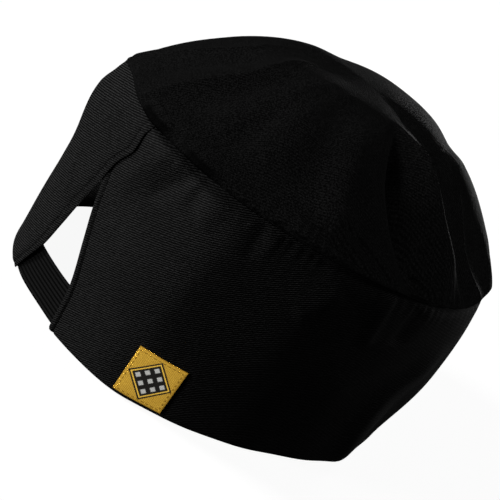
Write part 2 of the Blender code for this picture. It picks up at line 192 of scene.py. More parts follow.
# The band: its waves, puckers and hems, the spacing of its grid, and its folds, each with its
# (angle, share of height) places, its height, its widths on the left and right and its sharpness
band = {
    "waveSeed": 4,
    "waveHeight": 0.00022,
    "waveLength": 0.030,
    "puckerHeight": 0.00045,
    "puckerReach": 0.075,
    "puckerPitch": 0.0056,
    "seamFade": 0.03,
    "hemWidth": 0.0025,
    "hemRise": 0.00045,
    "leftHemShare": 0.6,
    "grooveDepth": 0.00045,
    "groovePlace": 1.08,
    "grooveWidth": 0.0005,
    "taper": 0.0010,
    "taperReach": 0.006,
    "rimRoll": 0.0006,
    "rimRollHeight": 0.0012,
    "columns": 470,
    "edgeColumns": 16,
    "edgeShare": 0.0095,
    "rows": 62,
    "lowRows": (0.0, 0.0025, 0.006, 0.011, 0.018),
    "highRows": (0.034, 0.024, 0.016, 0.009, 0.004, 0.0),
    "folds": [
        (((117, -0.15), (115, 0.25), (118, 0.50), (133, 0.80)), 0.0023, 0.006, 0.010, 1.6),
        (((128, -0.05), (129, 0.35), (139, 0.68)), -0.0014, 0.009, 0.009, 2.0),
        (((9, 0.66), (12, 0.82), (14, 0.90), (17, 1.02)), 0.0017, 0.006, 0.005, 1.8),
        (((17, 0.75), (21, 0.86), (23, 0.92), (25, 1.05)), -0.0019, 0.004, 0.003, 1.6),
        (((28, 0.84), (28, 1.04)), -0.0010, 0.0025, 0.0025, 1.6),
        (((33, 0.80), (34, 1.02)), 0.0008, 0.004, 0.004, 1.8),
        (((47, 0.80), (46, 1.02)), -0.0011, 0.004, 0.003, 1.6),
        (((50, 0.86), (50, 1.04)), 0.0007, 0.0025, 0.0025, 1.8),
        (((41, -0.30), (39, 0.15), (39, 0.55), (46, 0.95)), 0.0013, 0.018, 0.012, 1.8),
        (((66, 0.70), (71, 0.80), (76, 0.92)), 0.0011, 0.0065, 0.0055, 1.8),
        (((93, 0.68), (92, 0.84), (90, 1.02)), 0.0013, 0.005, 0.004, 1.8),
        (((-6, 0.78), (-8, 0.68), (-7, 0.61), (-5, 0.54), (-1, 0.46)),
         0.0009, 0.0022, 0.0030, 1.4),
        (((104, 0.74), (104, 0.86), (105, 0.98)), -0.0012, 0.005, 0.005, 1.8),
        (((-6, 0.80), (-5, 0.90), (-3, 1.02)), 0.0011, 0.003, 0.003, 1.5),
        (((-44, 0.78), (-45, 0.88), (-46, 1.00)), -0.0011, 0.0055, 0.0055, 1.8),
        (((-88, 0.76), (-88, 0.88), (-89, 1.00)), -0.0012, 0.0055, 0.0055, 1.8),
        (((-128, 0.76), (-127, 0.88), (-127, 1.00)), -0.0011, 0.0055, 0.0055, 1.8),
        (((176, 0.76), (176, 0.88), (177, 1.00)), -0.0011, 0.0055, 0.0055, 1.8),
    ],
}


def bandFlat(angle, share):
    return np.array([math.radians(angle) * rimRadius, share * cap["bandHeight"]])


# Puckers: a wave round the seam that dies away from it. Its spacing and its strength wander by
# slower sines, each given as size, rate and start
puckerWander = {
    "spacing": ((1.9, 0.83, 0.0), (1.1, 2.1, 1.0)),
    "strength": (0.4, 0.47, 0.6),
    "fall": 1.5,
}


def seamPuckers(angle, fromSeam, pitch):
    run = np.radians(angle) * seamRadius / pitch
    phase = 2 * np.pi * run
    for size, rate, start in puckerWander["spacing"]:
        phase = phase + size * np.sin(run * rate + start)
    size, rate, start = puckerWander["strength"]
    strength = 1 - size + size * np.sin(run * rate + start)
    return np.sin(phase) * strength * np.exp(-(fromSeam ** puckerWander["fall"]))


def bandRelief(angle, share):
    flat = np.stack([np.radians(angle) * rimRadius, share * cap["bandHeight"]], -1)
    relief = foldRelief(flat, band["folds"], bandFlat, wrap=2 * np.pi * rimRadius)
    relief = relief + softWaves(flat[..., 0], flat[..., 1], band["waveHeight"], band["waveLength"],
                                band["waveSeed"])
    fromSeam = (1.0 - share) / band["puckerReach"]
    relief = relief + band["puckerHeight"] * seamPuckers(angle, fromSeam, band["puckerPitch"])
    return relief * smoothStep((1.0 - share) / band["seamFade"])


# How far two narrow pockets under the crown's roll draw the seam in
def seamPocket(angle):
    turn = turned(angle)
    drawn = sum(share * bump(turn, middle, width) for middle, width, share in cap["pockets"])
    return cap["pocketDepth"] * drawn


# A point on the outside of the wall: the straight line from rim to seam at this angle, pushed
# out by the swell (its low, middle, shoulder and high parts) and the folds, and drawn in at
# the seam
def wallPoint(angle, share, inward=0.0):
    rim = rimMiddle + spoke(angle) * oval(angle, cap["rimWidth"], cap["rimLength"])[..., None]
    seam = seamMiddle + spoke(angle) * oval(angle, cap["seamWidth"], cap["seamLength"])[..., None]
    level = share[..., None]
    place = rim * (1 - level) + seam * level
    low = around(angle, wallShape, 0) * (1 - smoothStep(share / cap["halfUp"]))
    middle = around(angle, wallShape, 1) * np.sin(np.pi * share) ** 1.5
    shoulder = around(angle, wallShape, 2) * bump(share, cap["shoulder"], cap["shoulderWidth"])
    shoulder = shoulder * smoothStep((1 - share) / cap["shoulderWidth"])
    high = around(angle, wallShape, 3) * smoothStep((share - cap["halfUp"]) / cap["halfUp"])
    fromSeam = (1 - share) * cap["bandHeight"]
    dip = cap["seamDip"] * bump(fromSeam, 0.0, 2 * cap["cloth"])
    dip = dip + seamPocket(angle) * bump(fromSeam, 0.0, cap["pocketHeight"])
    out = cap["swell"] * (low + middle + shoulder + high) - dip - inward + bandRelief(angle, share)
    place = place + spoke(angle) * out[..., None]
    place[..., 2] = seamHeight(angle) * share
    return place


def backAngle(distance):
    return np.degrees(distance / (cap["rimLength"] / 2))


def endAngle(table, share):
    offsets = np.array([table[knot] for knot in table]) * cap["opening"]
    return backAngle(throughPoints(share, np.array(list(table)), offsets))


# How far the right end of the band lies inside, under the left end
def lap(angle):
    widest = backAngle(max([*rightEnd.values(), *leftEnd.values()]) * cap["opening"])
    fade = smoothStep((angle - widest) / backAngle(cap["lapFade"]))
    return (cap["cloth"] + cap["clearance"]) * (1 - fade)


# A rolled hem: half a round bead along the edge, then the groove that its stitching pulls in
def hemRelief(distance):
    wide = band["hemWidth"]
    bead = np.sqrt(np.clip(1.0 - ((distance - wide / 2) / (wide / 2)) ** 2, 0.0, 1.0))
    groove = bump(distance, wide * band["groovePlace"], band["grooveWidth"])
    return band["hemRise"] * bead - band["grooveDepth"] * groove


# A closed sheet from two matching grids, joined round their four edges
def closeShell(outside, inside, outsideUv, insideUv):
    columns, rows = outside.shape[:2]
    count = columns * rows
    front = np.arange(count).reshape(columns, rows)
    back = front + count
    quads = [
        quadsBetween(front[1:].T, front[:-1].T),
        quadsBetween(back[:-1].T, back[1:].T),
        quadsBetween(front[:1].T, back[:1].T),
        quadsBetween(back[-1:].T, front[-1:].T),
        quadsBetween(back[:, :1], front[:, :1]),
        quadsBetween(front[:, -1:], back[:, -1:]),
    ]
    points = np.concatenate([outside.reshape(-1, 3), inside.reshape(-1, 3)])
    uv = np.concatenate([outsideUv.reshape(-1, 2), insideUv.reshape(-1, 2)])
    return points, np.concatenate(quads), uv


# Faces between two matching sets of vertex numbers, along the first axis
def quadsBetween(first, second):
    return np.stack([first[:-1], first[1:], second[1:], second[:-1]], -1).reshape(-1, 4)


sharpAngle = 50.0  # edges that turn by more degrees are shaded sharp


def makePiece(name, points, faces, uv, material, tips=(), shade=None):
    mesh = bpy.data.meshes.new(name)
    mesh.from_pydata((points + shift).tolist(), [], [*faces.tolist(), *tips])
    layer = mesh.uv_layers.new(name="cloth")
    corner = np.zeros(len(mesh.loops), np.int32)
    mesh.loops.foreach_get("vertex_index", corner)
    layer.data.foreach_set("uv", np.ascontiguousarray(uv[corner], np.float32).ravel())
    # shade, where given, is painted shade: an attribute that darkens the piece's colour
    if shade is not None:
        mesh.attributes.new("shade", "FLOAT", "POINT").data.foreach_set("value", shade)
    mesh.materials.append(material)
    mesh.shade_smooth()
    mesh.set_sharp_from_angle(angle=math.radians(sharpAngle))
    mesh.validate()
    piece = bpy.data.objects.new(name, mesh)
    bpy.context.scene.collection.objects.link(piece)
    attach(piece, "root")
    return piece


# Shader maths written as expressions: a signal is a socket, and each operator adds its node
class Signal:
    def __init__(self, paint, socket):
        self.paint, self.socket = paint, socket

    def math(self, operation, *values):
        return self.paint.math(operation, self, *values)

    def __add__(self, other):
        return self.math("ADD", other)

    def __sub__(self, other):
        return self.math("SUBTRACT", other)

    def __mul__(self, other):
        return self.math("MULTIPLY", other)

    def __truediv__(self, other):
        return self.math("DIVIDE", other)

    def __pow__(self, other):
        return self.math("POWER", other)

    def __rsub__(self, other):
        return self.paint.math("SUBTRACT", other, self)

    def __rtruediv__(self, other):
        return self.paint.math("DIVIDE", other, self)


class Paint:
    def __init__(self, name, roughness, **constants):
        self.material = bpy.data.materials.new(name)
        self.material.use_nodes = True
        self.tree = self.material.node_tree
        self.shader = self.tree.nodes["Principled BSDF"]
        self.shader.inputs["Roughness"].default_value = roughness
        for socket, value in constants.items():
            self.shader.inputs[socket.replace("_", " ")].default_value = value

    # Any node: its settings are set first, then the values or links of its sockets
    def node(self, kind, settings=None, values=None, out=0):
        made = self.tree.nodes.new(kind)
        for key, value in (settings or {}).items():
            setattr(made, key, value)
        for key, value in (values or {}).items():
            self.feed(made.inputs[key], value)
        return Signal(self, made.outputs[out])

    def feed(self, socket, value):
        if isinstance(value, Signal):
            self.tree.links.new(value.socket, socket)
        else:
            socket.default_value = value

    def math(self, operation, *values):
        return self.node("ShaderNodeMath", {"operation": operation}, dict(enumerate(values)))

    def step(self, value, low, high):
        settings = {"interpolation_type": "SMOOTHSTEP"}
        return self.node("ShaderNodeMapRange", settings, {0: value, 1: low, 2: high})

    def clothPlace(self):
        place = self.node("ShaderNodeUVMap", {"uv_map": "cloth"})
        x = self.node("ShaderNodeSeparateXYZ", values={0: place})
        return x, Signal(self, x.socket.node.outputs[1])

    # Noise over the piece itself, or over two signals
    def noise(self, scale, detail, x=None, y=None):
        values = {"Scale": scale, "Detail": detail}
        if x is None:
            values["Vector"] = self.node("ShaderNodeTexCoord", out=3)
        else:
            values["Vector"] = self.node("ShaderNodeCombineXYZ", values={0: x, 1: y})
        return self.node("ShaderNodeTexNoise", {}, values)

    def mixColour(self, share, first, second):
        values = {0: share, 6: first, 7: second}
        return self.node("ShaderNodeMix", {"data_type": "RGBA"}, values, out=2)

    def bumpFrom(self, height, distance):
        return self.node("ShaderNodeBump", {}, {"Height": height, "Distance": distance})

    def finish(self, **inputs):
        for socket, value in inputs.items():
            self.feed(self.shader.inputs[socket.replace("_", " ")], value)
        return self.material


def grey(value):
    return (value, value, value, 1.0)


# A wave between 0 and 1 that comes round each time the signal grows by one
def wave(signal, kind="SINE"):
    return (signal * (2 * math.pi)).math(kind) * 0.5 + 0.5


# Twill: ridges of one period at one slope, pushed about by a little noise that is stretched along
# them, each broken into yarns two periods long that shift by half from ridge to ridge
def twillWeave(paint, kind):
    u, v = paint.clothPlace()
    turn = math.radians(kind["slope"])
    across = (v * math.cos(turn) - u * math.sin(turn)) / kind["period"]
    along = (u * math.cos(turn) + v * math.sin(turn)) / kind["period"]
    stretchAlong, stretchAcross = 0.35, 0.6
    push = paint.noise(1.0, 1.0, along * stretchAlong, across * stretchAcross) - 0.5
    across = across + push * kind["wander"]
    yarns = wave(along * 0.5 + across.math("FLOOR") * 0.5)
    return wave(across) * (yarns * kind["yarnDepth"] + (1 - kind["yarnDepth"]))


# Broad patches where the cloth has faded a little more or less
def fadedPatches(paint, kind):
    return paint.noise(kind["patchNoise"], 3.0) * kind["patchDepth"] + kind["patchBase"]


def clothPaint(name, kind):
    return Paint(name, kind["roughness"], Specular_IOR_Level=kind["gloss"],
                 Diffuse_Roughness=kind["matt"])


def darkCloth(paint, kind, height, tone):
    colour = paint.mixColour(tone, grey(kind["dark"]), grey(kind["light"]))
    return paint.finish(Base_Color=colour, Normal=paint.bumpFrom(height, kind["bump"]))


twill = {
    "period": 0.00094,
    "slope": 24.0,
    "wander": 0.60,
    "yarnDepth": 0.3,
    "patchNoise": 38.0,
    "patchDepth": 0.7,
    "patchBase": 0.65,
    "grainNoise": 850.0,
    "grainDepth": 1.8,
    "grainBase": 0.1,
    "contrast": 1.5,
    "dark": 0.0003,
    "light": 0.0330,
    "bump": 0.00030,
    "roughness": 0.66,
    "gloss": 0.04,
    "matt": 0.9,
}


def bandTwill():
    paint = clothPaint("bandTwill", twill)
    height = twillWeave(paint, twill)
    grain = paint.noise(twill["grainNoise"], 2.0) * twill["grainDepth"] + twill["grainBase"]
    tone = height ** twill["contrast"] * fadedPatches(paint, twill) * grain
    return darkCloth(paint, twill, height, tone)


# The crown's cloth is brushed: fuzz hides more than half of its weave
crownCloth = {
    "period": 0.00105,
    "slope": 62.0,
    "wander": 0.45,
    "yarnDepth": 0.5,
    "fuzzNoise": 1450.0,
    "fuzzLow": 0.38,
    "fuzzHigh": 0.64,
    "fuzzShare": 0.55,
    "patchNoise": 30.0,
    "patchDepth": 0.5,
    "patchBase": 0.75,
    "contrast": 1.3,
    "dark": 0.0003,
    "light": 0.0108,
    "bump": 0.00025,
    "roughness": 0.70,
    "gloss": 0.02,
    "matt": 0.9,
}


def crownTwill():
    paint = clothPaint("crownCloth", crownCloth)
    fuzz = paint.noise(crownCloth["fuzzNoise"], 2.0)
    fuzz = paint.step(fuzz, crownCloth["fuzzLow"], crownCloth["fuzzHigh"]) * crownCloth["fuzzShare"]
    height = twillWeave(paint, crownCloth) * (1 - crownCloth["fuzzShare"]) + fuzz
    # shade is painted shadow over the seam's pockets, read from the crown's own attribute
    shade = paint.node("ShaderNodeAttribute", {"attribute_name": "shade"}, out=2)
    tone = height ** crownCloth["contrast"] * fadedPatches(paint, crownCloth) * (1 - shade)
    return darkCloth(paint, crownCloth, height, tone)


strap = {
    "width": 0.020,
    "thickness": 0.0012,
    "ribs": 10,
    "ribDepth": 0.0005,
    "tuck": 0.014,
    "pull": 0.0008,
    "lift": 0.0005,
    "columns": 150,
    "rowsPerRib": 9,
    "loopRun": 0.0009,
    "loopRise": 0.002,
    "tickRun": 0.00055,
    "ribShare": 0.75,
    "ribHeight": 0.6,
    "loopHeight": 0.25,
    "tickHeight": 0.2,
    "patchNoise": 420.0,
    "patchDepth": 0.6,
    "patchBase": 0.7,
    "dark": 0.0003,
    "light": 0.0028,
    "bump": 0.00018,
    "roughness": 0.6,
    "gloss": 0.05,
}


# The elastic: ribs along it, slanting loops of yarn over them and small ticks in the hollows
def elasticWeave():
    paint = Paint("elasticWeave", strap["roughness"], Specular_IOR_Level=strap["gloss"])
    u, v = paint.clothPlace()
    rib = wave(v * (strap["ribs"] / strap["width"]), "COSINE")
    loops = wave(u * (1 / strap["loopRun"]) + v * (1 / strap["loopRise"]))
    ticks = wave(u * (1 / strap["tickRun"])) * (1 - rib)
    height = rib * strap["ribHeight"] + loops * strap["loopHeight"] + ticks * strap["tickHeight"]
    patches = paint.noise(strap["patchNoise"], 2.0) * strap["patchDepth"] + strap["patchBase"]
    tone = (rib * strap["ribShare"] + loops * (1 - strap["ribShare"])) * patches
    return darkCloth(paint, strap, height, tone)


label = {
    "width": 0.0214,
    "height": 0.0240,
    "thickness": 0.0007,
    "angle": 44.8,
    "lift": 0.0020,
    "cells": 60,
    "edgeStart": 0.93,
    "edgeWidth": 0.07,
    "edgeDrop": 0.45,
    "gold": (0.68, 0.42, 0.055, 1.0),
    "goldDark": (0.26, 0.13, 0.010, 1.0),
    "black": (0.012, 0.011, 0.010, 1.0),
    "silver": (0.42, 0.42, 0.40, 1.0),
    "threads": 62,
    "weftShare": 0.7,
    "patchNoise": 160.0,
    "patchDepth": 0.5,
    "patchBase": 0.7,
    "lozenge": 0.90,
    "softEdge": 0.02,
    "ringInner": (0.17, 0.14),
    "ringOuter": (0.10, 0.07),
    "checkEdge": (0.26, 0.22),
    "checks": 4.0,
    "checkSharp": 6.0,
    "fold": (0.90, 0.99),
    "foldShade": 0.55,
    "groove": 0.88,
    "grooveSharp": 40.0,
    "bump": 0.00012,
    "roughness": 0.70,
    "gloss": 0.05,
}


# The label's place runs from 0 to 1 along the rim and up. Its motif is a plain lozenge, worked out
# from |x| + |y|, with a gold ring and a check of small squares; ringInner, ringOuter and
# checkEdge say how far inside the lozenge's edge the ring begins and ends and the check ends
def labelWeave():
    paint = Paint("labelWeave", label["roughness"], Specular_IOR_Level=label["gloss"])
    x, y = paint.clothPlace()
    fromMiddleX = (x - 0.5).math("ABSOLUTE")
    fromMiddleY = (y - 0.5).math("ABSOLUTE")
    diamond = (fromMiddleX + fromMiddleY) * 2.0
    edge = fromMiddleX.math("MAXIMUM", fromMiddleY) * 2.0

    def within(key):
        outer, inner = label[key]
        return paint.step(diamond, label["lozenge"] - outer, label["lozenge"] - inner)

    weft, warp = wave(y * label["threads"]), wave(x * (label["threads"] * 0.5))
    weave = weft * label["weftShare"] + warp * (1 - label["weftShare"])
    patches = paint.noise(label["patchNoise"], 2.0) * label["patchDepth"] + label["patchBase"]
    gold = paint.mixColour(weave * patches, label["goldDark"], label["gold"])
    soft = label["softEdge"]
    inLozenge = 1 - paint.step(diamond, label["lozenge"] - soft, label["lozenge"] + soft)
    check = squares(x + y - 1.0) * squares(x - y) * (1 - within("checkEdge"))
    ring = within("ringInner") * (1 - within("ringOuter"))
    motif = paint.mixColour(ring, label["black"], label["gold"])
    motif = paint.mixColour(check, motif, label["silver"])
    # painted shade: the label's colour goes darker towards its edge, where the edge turns under
    fold = paint.step(edge, *label["fold"]) * label["foldShade"]
    colour = paint.mixColour(fold, paint.mixColour(inLozenge, gold, motif), label["goldDark"])
    fromGroove = (edge - label["groove"]) * label["grooveSharp"]
    groove = 1 / (fromGroove * fromGroove + 1.0)
    height = weave * 0.8 + inLozenge * 0.5 + check * 0.4 - groove * 0.8
    return paint.finish(Base_Color=colour, Normal=paint.bumpFrom(height, label["bump"]))


# Stripes with steep edges: a cosine pushed towards 0 and 1
def squares(signal):
    stripes = (signal * (2 * math.pi * label["checks"])).math("COSINE")
    return (stripes * label["checkSharp"]).math("TANH") * 0.5 + 0.5


# Thread: its colour, gloss and plies; the stitches' length and gap; where they run; and the shape
# of one stitch, which arches over the cloth and sinks into it at its blunt ends
thread = {
    "black": (0.006, 0.006, 0.006, 1.0),
    "blackGloss": 0.05,
    "gold": (0.30, 0.155, 0.015, 1.0),
    "goldGloss": 0.02,
    "roughness": 0.6,
    "plies": 9,
    "shadow": 0.45,
    "bump": 0.00008,
    "hemStitch": (0.0021, 0.0007),
    "labelStitch": (0.0016, 0.0006),
    "hemInset": 0.0027,
    "hemSink": 0.0003,
    "hemPoints": 160,
    "labelInset": 0.055,
    "labelPoints": 40,
    "radius": 0.00016,
    "arch": 1.5,
    "sink": 0.7,
    "blunt": 6,
    "leastEnd": 0.04,
    "sides": 8,
    "rings": 7,
}


def threadPaint(name, tone, gloss):
    paint = Paint(name, thread["roughness"], Specular_IOR_Level=gloss)
    u, _ = paint.clothPlace()
    ply = wave(u * thread["plies"])
    dark = tuple(part * thread["shadow"] for part in tone[:3]) + (1.0,)
    normal = paint.bumpFrom(ply, thread["bump"])
    return paint.finish(Base_Color=paint.mixColour(ply, dark, tone), Normal=normal)


# Grid lines: close together near both ends, even in between
def unevenSteps(edge, edgeCount, count):
    first = np.linspace(0.0, edge, edgeCount)
    return np.concatenate([first, np.linspace(edge, 1 - edge, count)[1:-1], 1 - first[::-1]])


def bandGrid():
    clothLength = 2 * np.pi * rimRadius
    along = unevenSteps(band["edgeShare"], band["edgeColumns"], band["columns"])[:, None]
    low, high = np.array(band["lowRows"]), 1 - np.array(band["highRows"])
    between = np.linspace(low[-1], high[0], band["rows"])[1:-1]
    share = np.concatenate([low, between, high])[None, :]
    share = share + 0.0 * along
    first, last = endAngle(rightEnd, share), endAngle(leftEnd, share) + 360.0
    angle = first + (last - first) * along
    outside = wallPoint(angle, share, lap(angle))
    reach = np.radians(angle - first) * rimRadius
    rest = np.radians(last - angle) * rimRadius
    hem = hemRelief(reach) + band["leftHemShare"] * hemRelief(rest)
    rimRoll = 1 - smoothStep(share * cap["bandHeight"] / band["rimRollHeight"])
    rimRoll = -band["rimRoll"] * rimRoll
    taper = band["taper"] * (1 - smoothStep(rest / band["taperReach"]))
    inside = outside - spoke(angle) * (cap["cloth"] + rimRoll)[..., None]
    outside = outside + spoke(angle) * (hem + rimRoll - taper)[..., None]
    uv = np.stack([np.radians(angle) * rimRadius, share * seamHeight(angle)], -1)
    return outside, inside, uv, uv + np.array([clothLength, 0.0])


# The crown. Its reach is 0 at the top and 1 at the seam, and most widths here are shares of it.
# shape gives for an angle how far the crown rolls out over the seam (in shares of overhang) and
# how much fuller it is near the seam (in shares of rise). folds are as the band's, but their
# places are (angle, reach). The gathers spare the side round plainMiddle, where folds take over.
# spacing is the even part of the steps between rows; the rest of each step grows towards the top
crown = {
    "rise": 0.049,
    "roundness": 2.3,
    "overhang": 0.0026,
    "rollReach": 0.03,
    "uprightReach": 0.06,
    "foldFade": 0.025,
    "waveFade": 0.04,
    "gatherHeight": 0.0009,
    "gatherPitch": 0.020,
    "gatherStart": 0.70,
    "gatherReach": 0.25,
    "plainMiddle": 58.0,
    "plainHalf": 70.0,
    "plainFade": 25.0,
    "puckerHeight": 0.00035,
    "puckerPitch": 0.0062,
    "puckerReach": 0.07,
    "waveHeight": 0.00028,
    "waveLength": 0.040,
    "waveSeed": 11,
    "columns": 700,
    "rows": 112,
    "innerRows": 24,
    "spacing": 0.30,
    "nearTop": 0.99,
    "innerNearTop": 0.95,
    "clothStretch": 1.12,
    # the painted shadow over the seam's pockets: where it starts and fades in reach, its strength
    # and its floor
    "pocketShadowStart": 0.040,
    "pocketShadowFade": 0.010,
    "pocketShadowStrength": 2.2,
    "pocketShadowLeast": 0.25,
    "shape": {
        -150: (0.8, 0.04),
        -100: (0.7, 0.03),
        -60: (-0.1, 0.07),
        -35: (-0.6, -0.03),
        -12: (0.4, -0.04),
        2: (1.0, 0.00),
        9: (2.0, 0.02),
        17: (1.1, 0.03),
        25: (1.9, 0.03),
        36: (0.9, 0.04),
        60: (0.8, 0.06),
        100: (0.9, 0.06),
        130: (0.3, -0.05),
        155: (0.5, 0.03),
    },
    "folds": [
        (((98, 0.26), (87, 0.50), (84, 0.66), (87, 0.78), (93, 0.88), (100, 0.95), (115, 1.03)),
         -0.0084, 0.0082, 0.0043, 1.25),
        (((120, 0.26), (110, 0.54), (109, 0.70), (113, 0.82), (119, 0.98)),
         0.0044, 0.0060, 0.0085, 2.0),
        (((98, 0.20), (107, 0.40), (109, 0.48), (109, 0.60), (111, 0.71), (115, 0.80), (121, 0.90),
          (127, 1.04)), 0.0016, 0.0020, 0.0050, 1.1),
        (((144, 0.54), (133, 0.74), (132, 0.83), (135, 0.92), (140, 1.04)),
         0.0017, 0.0022, 0.0055, 1.1),
        (((126, 0.42), (120, 0.70), (124, 0.84), (131, 1.02)), -0.0012, 0.0040, 0.0040, 1.8),
        (((152, 0.44), (150, 0.72), (154, 1.00)), 0.0028, 0.016, 0.016, 2.0),
        (((57, 0.30), (60, 0.69), (62, 0.81), (67, 0.96)), 0.0022, 0.0080, 0.0100, 2.0),
        (((61, 0.84), (68, 0.88), (74, 0.90), (82, 0.93), (88, 0.96), (98, 1.00)),
         0.0013, 0.0028, 0.0016, 1.4),
        (((54, 0.84), (62, 0.88), (67, 0.91), (74, 0.95), (80, 0.97), (90, 1.01)),
         0.0013, 0.0022, 0.0018, 1.4),
        (((48, 0.91), (60, 0.94), (65, 0.952), (70, 0.96), (76, 0.967), (90, 1.00)),
         -0.0016, 0.0017, 0.0017, 1.5),
        (((62, 0.87), (72, 0.91), (80, 0.94), (92, 1.00)), -0.0010, 0.0015, 0.0015, 1.5),
        (((45, 0.965), (57, 0.975), (64, 0.973), (76, 0.99)), 0.0009, 0.0022, 0.0016, 1.6),
        (((99, 0.91), (103, 0.95), (107, 0.97), (114, 1.01)), -0.0013, 0.0016, 0.0016, 1.5),
        (((2, 1.08), (0, 0.94), (0, 0.84), (1, 0.74), (2, 0.60), (-3, 0.48), (-12, 0.36),
          (-30, 0.22)), 0.0036, 0.0120, 0.0045, 1.15),
        (((-10, 0.12), (20, 0.33), (26, 0.47), (30, 0.58), (34, 0.70), (39, 0.90)),
         0.0023, 0.0120, 0.0120, 2.0),
        (((38, 0.24), (46, 0.50), (50, 0.70), (50, 0.96)), -0.0014, 0.0100, 0.0100, 2.0),
        (((-2, 0.96), (8, 0.935), (14, 0.935), (22, 0.94), (34, 0.96)),
         0.0013, 0.0030, 0.0030, 2.0),
        (((-30, 1.00), (-28, 0.79), (-28, 0.68), (-30, 0.56), (-48, 0.40)),
         0.0021, 0.0060, 0.0028, 1.1),
        (((-14, 0.98), (-14, 0.72), (-17, 0.46)), -0.0014, 0.0060, 0.0060, 1.8),
        (((-73, 1.04), (-66, 0.76), (-80, 0.46)), -0.0025, 0.0060, 0.0060, 1.7),
        (((-110, 1.04), (-118, 0.78), (-106, 0.52)), -0.0028, 0.0056, 0.0056, 1.7),
        (((-148, 1.04), (-140, 0.74), (-154, 0.46)), -0.0022, 0.0060, 0.0060, 1.7),
        (((171, 1.04), (178, 0.76), (166, 0.44)), -0.0025, 0.0068, 0.0068, 1.7),
    ],
}


def crownFlat(angle, reach):
    turn = math.radians(angle)
    return seamRadius * reach * np.array([-math.sin(turn), math.cos(turn)])


def crownRelief(angle, reach):
    flat = seamRadius * reach[..., None] * spoke(angle)[..., :2]
    relief = foldRelief(flat, crown["folds"], crownFlat)
    count = round(2 * np.pi * seamRadius / crown["gatherPitch"])
    gathers = crown["gatherHeight"] * np.cos(np.radians(angle) * count)
    gathers = gathers * smoothStep((reach - crown["gatherStart"]) / crown["gatherReach"])
    fromPlain = np.abs(turned(angle - crown["plainMiddle"])) - crown["plainHalf"]
    relief = relief + gathers * smoothStep(fromPlain / crown["plainFade"])
    small = softWaves(flat[..., 0], flat[..., 1], crown["waveHeight"], crown["waveLength"],
                      crown["waveSeed"])
    inset = 1.0 - reach
    puckers = seamPuckers(angle, inset / crown["puckerReach"], crown["puckerPitch"])
    small = small + crown["puckerHeight"] * puckers
    return (relief * smoothStep(inset / crown["foldFade"])
            + small * smoothStep(inset / crown["waveFade"]))


# The crown: a dome that falls off as one minus reach to a power, rolled out over the seam,
# with its folds along the dome's own normal; the inside lies one cloth deeper
def crownSurface(angle, reach):
    dip = cap["seamDip"] + seamPocket(angle)
    edge = oval(angle, cap["seamWidth"], cap["seamLength"]) - dip
    edge = edge + cap["swell"] * around(angle, wallShape, 3)
    seam = seamHeight(angle) + cap["clearance"]
    inset = 1.0 - reach
    roll = inset / crown["rollReach"]
    overhang = crown["overhang"] * around(angle, crown["shape"], 0) + dip
    out = overhang * roll * np.exp(1.0 - roll)
    height = seam * reach**2 + (cap["bandHeight"] + cap["clearance"]) * (1 - reach**2)
    lift = around(angle, crown["shape"], 1) * reach**2 * inset * 27 / 4  # 27 / 4 makes its peak one
    height = height + crown["rise"] * (1 - reach ** crown["roundness"] + lift)
    outside = seamMiddle + spoke(angle) * (edge * reach + out)[..., None]
    outside[..., 2] = height
    slope = crown["rise"] * crown["roundness"] * reach ** (crown["roundness"] - 1) / edge
    normal = spoke(angle) * slope[..., None]
    normal[..., 2] = 1.0
    normal /= np.linalg.norm(normal, axis=-1, keepdims=True)
    outside = outside + normal * crownRelief(angle, reach)[..., None]
    upright = smoothStep(inset / crown["uprightReach"])[..., None]
    into = spoke(angle) * (1 - upright) + normal * upright
    into /= np.linalg.norm(into, axis=-1, keepdims=True)
    return outside, outside - into * cap["cloth"]


def crownRing(reach):
    angle = (np.arange(crown["columns"]) * 360.0 / crown["columns"])[:, None] + 0.0 * reach
    return angle, reach + 0.0 * angle


# The crown's outside is a fine grid and its inside a coarser one; both close on a point at the
# top. Its cloth's colour is darkened near the seam over the two pockets: painted shadow of the dark
# slits under the crown's roll
def buildCrown(material):
    steps = np.linspace(0.0, 1.0, crown["rows"] + 1)[None, :-1]
    innerSteps = np.linspace(0.0, 1.0, crown["innerRows"] + 1)[None, :-1]
    steps = crown["spacing"] * steps + (1 - crown["spacing"]) * steps**2
    angle, reach = crownRing(1.0 - crown["nearTop"] * steps)
    outside, _ = crownSurface(angle, reach)
    _, inside = crownSurface(*crownRing(1.0 - crown["innerNearTop"] * innerSteps**1.5))
    top, under = crownSurface(np.zeros((1, 1)), np.zeros((1, 1)))
    frontCount = outside.shape[0] * outside.shape[1]
    backCount = inside.shape[0] * inside.shape[1]
    front = np.arange(frontCount).reshape(outside.shape[:2])
    back = frontCount + np.arange(backCount).reshape(inside.shape[:2])
    front, back = np.concatenate([front, front[:1]]), np.concatenate([back, back[:1]])
    faces = np.concatenate([
        quadsBetween(front[1:].T, front[:-1].T),
        quadsBetween(back[:-1].T, back[1:].T),
        quadsBetween(back[:, :1], front[:, :1]),
    ])
    last = np.full(crown["columns"], frontCount + backCount)
    topTips = np.stack([front[:-1, -1], front[1:, -1], last], -1)
    underTips = np.stack([back[1:, -1], back[:-1, -1], last + 1], -1)
    points = np.concatenate([outside.reshape(-1, 3), inside.reshape(-1, 3), top[0], under[0]])
    uv = points[:, :2] * crown["clothStretch"]
    # painted shadow: the crown's colour goes dark near the seam over the pockets
    pocketShadow = crown["pocketShadowStrength"] * seamPocket(angle) / cap["pocketDepth"] - crown["pocketShadowLeast"]
    pocketShadow = np.clip(pocketShadow, 0.0, 1.0)
    pocketShadow = pocketShadow * (1 - smoothStep((1 - reach - crown["pocketShadowStart"]) / crown["pocketShadowFade"]))
    shade = np.concatenate([pocketShadow.ravel(), np.zeros(len(points) - frontCount)])
    return makePiece("crownCloth", points, faces, uv, material,
                     tips=[*topTips.tolist(), *underTips.tolist()], shade=shade)


